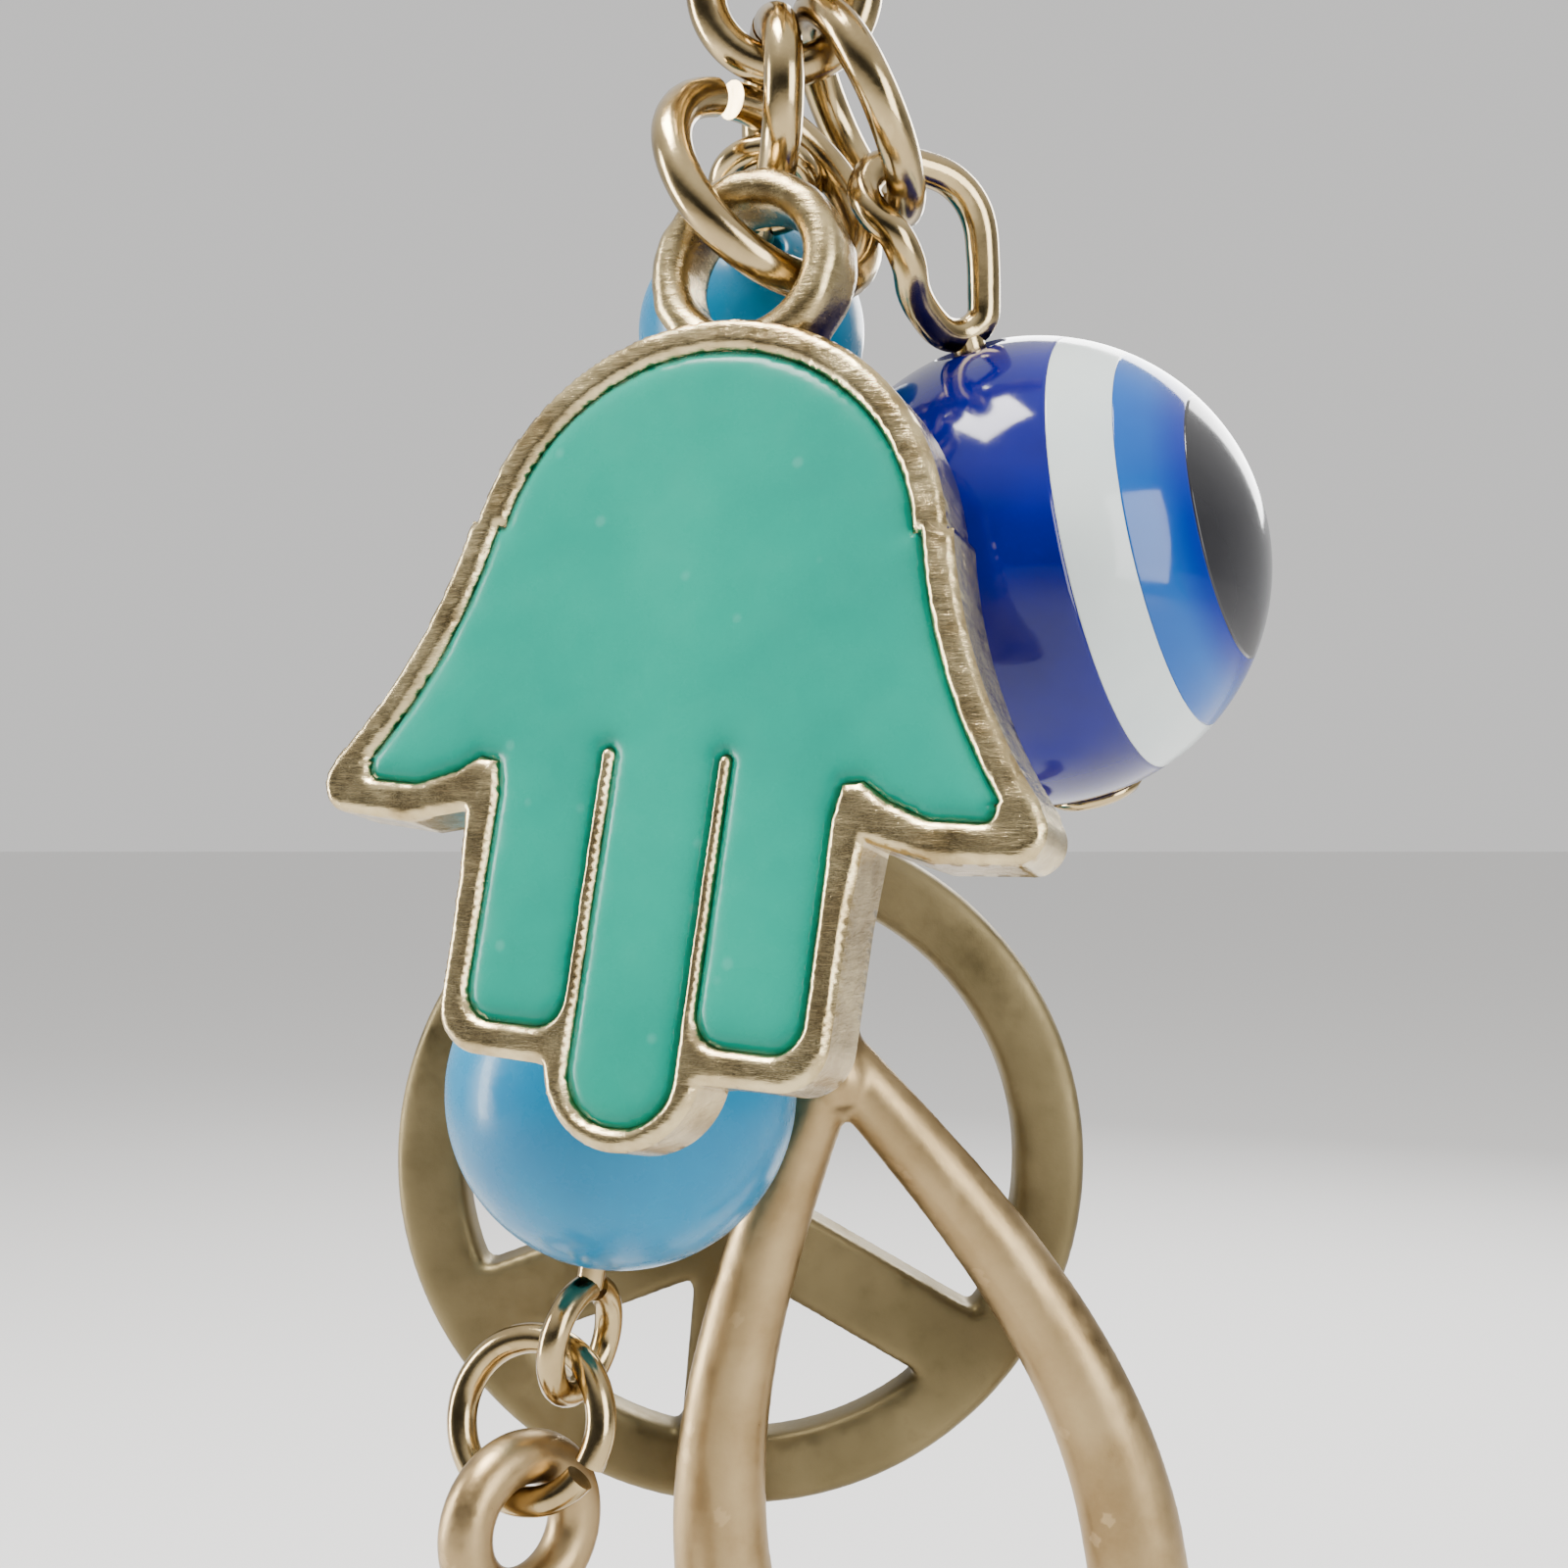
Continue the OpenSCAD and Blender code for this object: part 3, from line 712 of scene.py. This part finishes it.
def fillRegion(outer, holes, step):
    # triangles between an outline and its holes, with points inside for relief
    loops = [outer] + holes
    xs = np.array(outer)
    (x0, y0), (x1, y1) = xs.min(0), xs.max(0)
    gx, gy = np.meshgrid(np.arange(x0, x1, step), np.arange(y0, y1, step))
    gx[1::2] += step / 2
    grid = np.stack([gx.ravel(), gy.ravel()], 1)
    keep = inside(grid, outer)
    for hole in holes:
        keep &= ~inside(grid, hole)
    grid = grid[keep]
    grid = grid[reach(grid, loops) > step * 0.55]
    coords, edges = [], []
    for loop in loops:
        first = len(coords)
        coords += [Vector(p) for p in loop]
        edges += [(first + i, first + (i + 1) % len(loop)) for i in range(len(loop))]
    coords += [Vector(p) for p in grid]
    pts, _, tris, *_ = delaunay_2d_cdt(coords, edges, [], 0, 1e-6)
    pts = np.array([(p.x, p.y) for p in pts])
    tris = np.array([t for t in tris if len(t) == 3])
    mid = pts[tris].mean(1)
    keep = inside(mid, outer)
    for hole in holes:
        keep &= ~inside(mid, hole)
    return pts, tris[keep], reach(pts, loops)


def rounded(d, r):
    d = np.minimum(d, r)
    return r - np.sqrt(np.maximum(r * r - (r - d) ** 2, 0))


def wall(verts, faces, loop, depths):
    first = len(verts)
    n = len(loop)
    for depth in depths:
        verts += [(x, depth, y) for x, y in loop]
    for k in range(len(depths) - 1):
        row = first + k * n
        for i in range(n):
            j = (i + 1) % n
            faces.append((row + i, row + j, row + n + j, row + n + i))


def sheetFaces(verts, faces, pts, tris, depth):
    first = len(verts)
    verts += [(x, d, y) for (x, y), d in zip(pts, depth)]
    faces += [tuple(int(i) + first for i in t) for t in tris]


def rough2d(pts, scale, seed):
    return np.array([noise.noise(Vector((x * scale, y * scale, seed))) for x, y in pts])


def makeHandFrame():
    outer, pocket = dense(handOutline(), 0.1), dense(pocketOutline(), 0.1)
    verts, faces = [], []
    # face of the rim and ridges, the pocket, the outer edge and the gently hammered back
    pts, tris, d = fillRegion(outer, [pocket], 0.09)
    relief = rounded(d, hand["edge"]) + (0.02 * rough2d(pts, 2.2, 1) + 0.012 * rough2d(pts, 6, 4)) * (d > 0.02)
    sheetFaces(verts, faces, pts, tris, relief)
    wall(verts, faces, pocket, [hand["edge"], 0.45, hand["pocket"]])
    pts, tris, d = fillRegion(pocket, [], 0.6)
    sheetFaces(verts, faces, pts, tris, np.full(len(pts), hand["pocket"]))
    t = hand["thick"]
    wall(verts, faces, outer, [hand["edge"]] + list(np.linspace(hand["edge"], t - hand["edge"], 6)[1:]))
    pts, tris, d = fillRegion(outer, [], 0.25)
    sheetFaces(verts, faces, pts, tris, t - rounded(d, hand["edge"]) - 0.03 * rough2d(pts, 1.6, 9) * (d > 0.05))
    return meshObject("handCasting", [handPlace @ Vector(v) for v in verts], faces, handGold)


def makeEnamel():
    pocket = dense(pocketOutline(), 0.1)
    verts, faces = [], []
    pts, tris, d = fillRegion(pocket, [], 0.14)
    lip, crown = 0.19, 0.03
    depth = crown + (lip - crown) * np.exp(-d / 0.16) + 0.012 * rough2d(pts, 1.1, 3)
    depth -= 0.03 * (1 - np.exp(-d / 1.2))
    depth[d < 1e-4] = lip
    sheetFaces(verts, faces, pts, tris, depth)
    wall(verts, faces, pocket, [lip, 0.45, hand["pocket"]])
    pts, tris, d = fillRegion(pocket, [], 0.6)
    sheetFaces(verts, faces, pts, tris, np.full(len(pts), hand["pocket"]))
    return meshObject("handEnamel", [handPlace @ Vector(v) for v in verts], faces, tealEnamel)


def makeBail():
    around, across = 120, 28
    half = (hand["bailDepth"] - hand["bailWall"]) / 2
    r = hand["bailWall"] / 2
    verts, faces = [], []
    for k in range(around):
        a = fullTurn * k / around
        for i in range(across):
            b = fullTurn * i / across
            out = r * math.cos(b)
            side = r * math.sin(b) + half * math.copysign(1, math.sin(b)) * min(1, abs(math.sin(b)) * 3)
            n = noise.noise(Vector((math.cos(a) * 4, math.sin(a) * 4, side * 2 + 5))) * 0.035
            rad = hand["bailR"] + out * (1 + n) + (n if out > 0 else 0)
            spot = (rad * math.cos(a), hand["thick"] / 2 + side, hand["bailY"] + rad * math.sin(a))
            verts.append(handPlace @ Vector(spot))
    for k in range(around):
        for i in range(across):
            k1, i1 = (k + 1) % around, (i + 1) % across
            faces.append((k * across + i, k1 * across + i, k1 * across + i1, k * across + i1))
    return meshObject("handBail", verts, faces, bailGold)


settle(makeHandFrame(), "hand", ["hand_frame"])
bail = makeBail()
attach(bail, "hand")
settle(makeEnamel(), "hand", ["hand_enamel"])
print("hamsa hand made")


# satin castings: wishbone, medallion and horseshoe

def castPiece(name, parts, voxel, passes, mat):
    # parts: (verts, faces) of closed, overlapping shells; melted into one cast skin
    verts, faces = [], []
    for v, f in parts:
        first = len(verts)
        verts += [tuple(p) for p in v]
        faces += [tuple(i + first for i in face) for face in f]
    obj = meshObject(name, verts, faces, mat)
    melt = obj.modifiers.new("melt", "REMESH")
    melt.mode = "VOXEL"
    melt.voxel_size = voxel
    melt.use_smooth_shade = True
    soft = obj.modifiers.new("soft", "SMOOTH")
    soft.factor = 0.5
    soft.iterations = passes
    bpy.context.view_layer.update()
    bake(obj)
    obj.data.materials.clear()
    obj.data.materials.append(mat)
    for poly in obj.data.polygons:
        poly.use_smooth = True
        poly.material_index = 0
    return obj


def tube(points, section, side):
    # section(i) gives (along side, across) pairs for point i
    n = len(points)
    verts, faces, count = [], [], 0
    for i, p in enumerate(points):
        ahead = (points[min(i + 1, n - 1)] - points[max(i - 1, 0)]).normalized()
        across = ahead.cross(side).normalized()
        along = across.cross(ahead)
        ring = section(i)
        count = len(ring)
        verts += [p + along * a + across * b for a, b in ring]
    for i in range(n - 1):
        for k in range(count):
            m = (k + 1) % count
            faces.append((i * count + k, i * count + m, (i + 1) * count + m, (i + 1) * count + k))
    faces.append(tuple(reversed(range(count))))
    faces.append(tuple(range((n - 1) * count, n * count)))
    return verts, faces


def ball(centre, r, n=20):
    verts, faces = [], []
    for i in range(n + 1):
        for k in range(2 * n):
            a, b = math.pi * i / n, math.pi * k / n
            out = r * math.sin(a)
            verts.append(centre + Vector((out * math.cos(b), out * math.sin(b), r * math.cos(a))))
    for i in range(n):
        for k in range(2 * n):
            m = (k + 1) % (2 * n)
            faces.append((i * 2 * n + k, (i + 1) * 2 * n + k, (i + 1) * 2 * n + m, i * 2 * n + m))
    return verts, faces


def torus(centre, axis, r, w, n=64, m=20):
    axis = Vector(axis).normalized()
    u = axis.orthogonal().normalized()
    v = axis.cross(u)
    verts, faces = [], []
    for i in range(n):
        a = fullTurn * i / n
        out = u * math.cos(a) + v * math.sin(a)
        for k in range(m):
            b = fullTurn * k / m
            verts.append(centre + out * (r + w * math.cos(b)) + axis * w * math.sin(b))
    for i in range(n):
        for k in range(m):
            faces.append((i * m + k, (i + 1) % n * m + k, (i + 1) % n * m + (k + 1) % m, i * m + (k + 1) % m))
    return verts, faces


wishbone = dict(down=(0.184, 0.06, -0.981), right=(0.983, 0, 0.184), neck=3.4, eye=1.2, eyeWire=0.4,
                half=5.05, bend=13.2, length=21, width=2.5, thick=1.9, shoulder=0.62,
                drawIn=4, crest=0.3, backFlat=0.82, tip=0.15, crown=0.875, neckR=0.75)


def makeWishbone():
    w = wishbone
    low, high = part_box("wishbone")
    down, right = Vector(w["down"]).normalized(), Vector(w["right"]).normalized()
    # the eye is the top of the casting
    pts = nodePoints("wishbone")
    head = pts[pts[:, 2] > high.z - 2 * (w["eye"] + w["eyeWire"]) * mm]
    eyeAt = Vector((head.min(0) + head.max(0)) / 2)
    eyeAt.z = high.z - (w["eye"] + w["eyeWire"]) * mm
    top = eyeAt + down * w["neck"] * mm
    parts = []
    for sign in (-1, 1):
        pts, grow = [], []
        for s in np.linspace(0.25, w["length"], 60):
            out = w["half"] * (math.sin(math.pi / 2 * s / w["bend"]) if s < w["bend"]
                               else math.cos(math.radians(w["drawIn"] * (s - w["bend"]))))
            pts.append(top + down * s * mm + right * sign * out * mm)
            grow.append(min(1, w["shoulder"] + (1 - w["shoulder"]) * s / w["bend"]))

        def section(i, grow=grow):
            g = grow[i]
            ring = []
            for k in range(32):
                b = fullTurn * k / 32
                c, s = math.cos(b), math.sin(b)
                # a crest runs down the front, the back is flatter
                ridge = 1 - w["crest"] * (1 - s) * (abs(c) > 0.1) if s > 0 else w["backFlat"]
                ring.append((w["width"] / 2 * g * c * mm, w["thick"] / 2 * g * s * ridge * mm))
            return ring
        # side along the arm's spread, so the ridge faces front
        parts.append(tube(pts, section, right))
        parts.append(ball(pts[-1], (w["width"] / 2 + w["tip"]) * mm))
    parts.append(ball(top + down * 0.6 * mm, w["crown"] * mm))
    neck = [top + down * h * mm for h in np.linspace(-(w["neck"] - 1), 1.2, 12)]
    circle = [(w["neckR"] * mm * math.cos(a), w["neckR"] * mm * math.sin(a))
              for a in np.linspace(0, fullTurn, 24, endpoint=False)]
    parts.append(tube(neck, lambda i: circle, right))
    parts.append(torus(eyeAt, down.cross(right), w["eye"] * mm, w["eyeWire"] * mm))
    return castPiece("wishboneCasting", parts, 0.11 * mm, 5, satinGold)


settle(makeWishbone(), "wishbone", ["wishbone"])

medallion = dict(bar=1.8, thick=1.5, tilt=-5, eye=1.1, eyeWire=0.4, legTurn=25, legStart=1.5, legWide=1.15)


def slab(place, x0, x1, y0, y1, t):
    corners = ((x0, y0), (x1, y0), (x1, y1), (x0, y1))
    verts = [place @ Vector((x, y, z)) for z in (-t / 2, t / 2) for x, y in corners]
    return verts, [(3, 2, 1, 0), (4, 5, 6, 7), (0, 1, 5, 4), (1, 2, 6, 5), (2, 3, 7, 6), (3, 0, 4, 7)]


def flatRing(place, r, wide, t, n=128, m=16, square=0.45):
    # a band with a softly crowned section
    verts, faces = [], []
    for i in range(n):
        a = fullTurn * i / n
        for k in range(m):
            b = fullTurn * k / m
            c, s = math.cos(b), math.sin(b)
            x = wide / 2 * math.copysign(abs(c) ** square, c)
            z = t / 2 * math.copysign(abs(s) ** square, s)
            verts.append(place @ Vector(((r + x) * math.cos(a), (r + x) * math.sin(a), z)))
    for i in range(n):
        for k in range(m):
            faces.append((i * m + k, (i + 1) % n * m + k, (i + 1) % n * m + (k + 1) % m, i * m + (k + 1) % m))
    return verts, faces


def makeMedallion():
    m = medallion
    low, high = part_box("medallion")
    outer = (high.x - low.x) / 2
    centre = Vector(((low.x + high.x) / 2, 0, low.z + outer))
    pts = nodePoints("medallion")
    lower = pts[pts[:, 2] < centre.z, 1]
    centre.y = (lower.min() + lower.max()) / 2
    t = m["thick"] * mm
    place = frameFrom(centre, (0, -1, 0), (1, 0, 0)) @ Matrix.Rotation(math.radians(m["tilt"]), 4, "Z")
    bar = m["bar"] * mm
    inner = outer - bar
    parts = [flatRing(place, outer - bar / 2, bar, t),
             slab(place, -bar / 2, bar / 2, -inner - bar / 3, inner + bar / 3, t)]
    legFoot = place @ Matrix.Translation((0, -m["legStart"] * mm, 0))
    for angle in (-m["legTurn"], 180 + m["legTurn"]):
        leg = legFoot @ Matrix.Rotation(math.radians(angle), 4, "Z")
        wide = bar * m["legWide"] / 2
        parts.append(slab(leg, 0, inner, -wide, wide, t))
    eyeAt = Vector((centre.x, centre.y, high.z - (m["eye"] + m["eyeWire"]) * mm))
    eyeRing = pts[pts[:, 2] > centre.z + outer + 0.3 * mm]
    spread = eyeRing - eyeRing.mean(0)
    axis = np.linalg.svd(spread, full_matrices=False)[2][2]
    parts.append(torus(eyeAt, axis, m["eye"] * mm, m["eyeWire"] * mm))
    return castPiece("medallionCasting", parts, 0.12 * mm, 6, darkGold)


settle(makeMedallion(), "medallion", ["medallion"])

horseshoe = dict(at=(-5.965, 5.0, -48.5), axis=(0.7, -0.71, 0), side=(0.71, 0.7, 0), bail=1.55, wall=1.25,
                 radius=3.3, wide=1.7, thick=1.3, opening=70)


def makeHorseshoe():
    h = horseshoe
    place = frameFrom(Vector(h["at"]) * mm, h["axis"], h["side"])
    drop = (-h["bail"] - h["wall"] / 2 - h["radius"] - h["wide"] / 2 + 0.5) * mm
    parts = [torus(place.translation, h["axis"], h["bail"] * mm, h["wall"] / 2 * mm)]
    # the shoe hangs a quarter turn round from its bail
    turns = np.radians(np.linspace(-90 + h["opening"] / 2, 270 - h["opening"] / 2, 60))
    r = h["radius"] * mm
    arcPts = [place @ Vector((0, drop + r * math.sin(a), r * math.cos(a))) for a in turns]
    axis = Vector(h["side"]).normalized()

    def section(i):
        ring = []
        for k in range(24):
            b = fullTurn * k / 24
            c, s = math.cos(b), math.sin(b)
            ring.append((h["thick"] / 2 * mm * math.copysign(abs(c) ** 0.5, c),
                         h["wide"] / 2 * mm * math.copysign(abs(s) ** 0.5, s)))
        return ring
    parts.append(tube(arcPts, section, axis))
    return castPiece("horseshoeCasting", parts, 0.1 * mm, 5, satinGold)


settle(makeHorseshoe(), "drop_charm", ["drop_charm"])
print("castings made")


# floor, light and camera

def makeFloor():
    mesh = bpy.data.meshes.new("floor")
    s, z = 1.5, cadLow.z - 20 * mm
    mesh.from_pydata([(-s, -s, z), (s, -s, z), (s, s, z), (-s, s, z)], [], [(0, 1, 2, 3)])
    mat, tree, bsdf = newMaterial("paleFloor")
    bsdf.inputs["Base Color"].default_value = (0.62, 0.612, 0.605, 1)
    bsdf.inputs["Roughness"].default_value = 0.8
    mesh.materials.append(mat)
    floor = bpy.data.objects.new("floor", mesh)
    bpy.context.scene.collection.objects.link(floor)
    floor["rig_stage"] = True


def softLight(name, at, toward, size, power, colour=(1, 1, 1)):
    lamp = bpy.data.lights.new(name, "AREA")
    lamp.shape = "RECTANGLE"
    lamp.size, lamp.size_y = size
    lamp.energy = power
    lamp.color = colour
    obj = bpy.data.objects.new(name, lamp)
    obj.location = at
    obj.rotation_euler = (Vector(toward) - Vector(at)).to_track_quat("-Z", "Y").to_euler()
    bpy.context.scene.collection.objects.link(obj)


makeFloor()
middle = (0, 0, -0.032)
softLight("overBox", (-0.05, -0.02, 0.14), middle, (0.09, 0.07), 1.0, (1.0, 0.98, 0.95))
softLight("frontFill", (0.17, -0.16, 0.02), middle, (0.12, 0.16), 0.6)
softLight("leftStrip", (-0.19, 0.02, -0.01), middle, (0.03, 0.14), 0.5)
softLight("backBox", (0.08, 0.18, 0.06), middle, (0.14, 0.10), 0.5)


def studioWorld():
    # plain pale surroundings; what the metal mirrors is brighter above and darker in front
    world = bpy.data.worlds.new("studio")
    world.use_nodes = True
    tree = world.node_tree
    coord = tree.nodes.new("ShaderNodeTexCoord")
    split = tree.nodes.new("ShaderNodeSeparateXYZ")
    tree.links.new(coord.outputs["Generated"], split.inputs["Vector"])
    spread = tree.nodes.new("ShaderNodeMapRange")
    spread.inputs["From Min"].default_value = -1
    tree.links.new(split.outputs["Y"], spread.inputs["Value"])
    shade = rampNode(tree, spread.outputs["Result"],
                     [(0.0, grey(0.04)), (0.3, grey(0.10)), (0.6, grey(0.45)), (0.9, grey(0.7))])
    overhead = rampNode(tree, split.outputs["Z"], [(0.3, grey(0)), (0.75, grey(1))])
    light = tree.nodes.new("ShaderNodeMix")
    light.data_type = "RGBA"
    light.inputs["B"].default_value = (1.25, 1.24, 1.22, 1)
    tree.links.new(overhead.outputs["Color"], light.inputs["Factor"])
    tree.links.new(shade.outputs["Color"], light.inputs["A"])
    ray = tree.nodes.new("ShaderNodeLightPath")
    seen = tree.nodes.new("ShaderNodeMix")
    seen.data_type = "RGBA"
    seen.inputs["B"].default_value = (0.78, 0.77, 0.76, 1)
    tree.links.new(ray.outputs["Is Camera Ray"], seen.inputs["Factor"])
    tree.links.new(light.outputs["Result"], seen.inputs["A"])
    tree.links.new(seen.outputs["Result"], tree.nodes["Background"].inputs["Color"])
    return world


world = studioWorld()
bpy.context.scene.world = world

camera = bpy.data.cameras.new("camera")
camera.sensor_width = 36
camera.lens = 48.6
camera.clip_start = 0.001
camera.clip_end = 10
view = bpy.data.objects.new("camera", camera)
view.location = (0, -0.043, -0.03168)
view.rotation_euler = (math.radians(90), 0, 0)
bpy.context.scene.collection.objects.link(view)
bpy.context.scene.camera = view
print("stage set")

low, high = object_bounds()
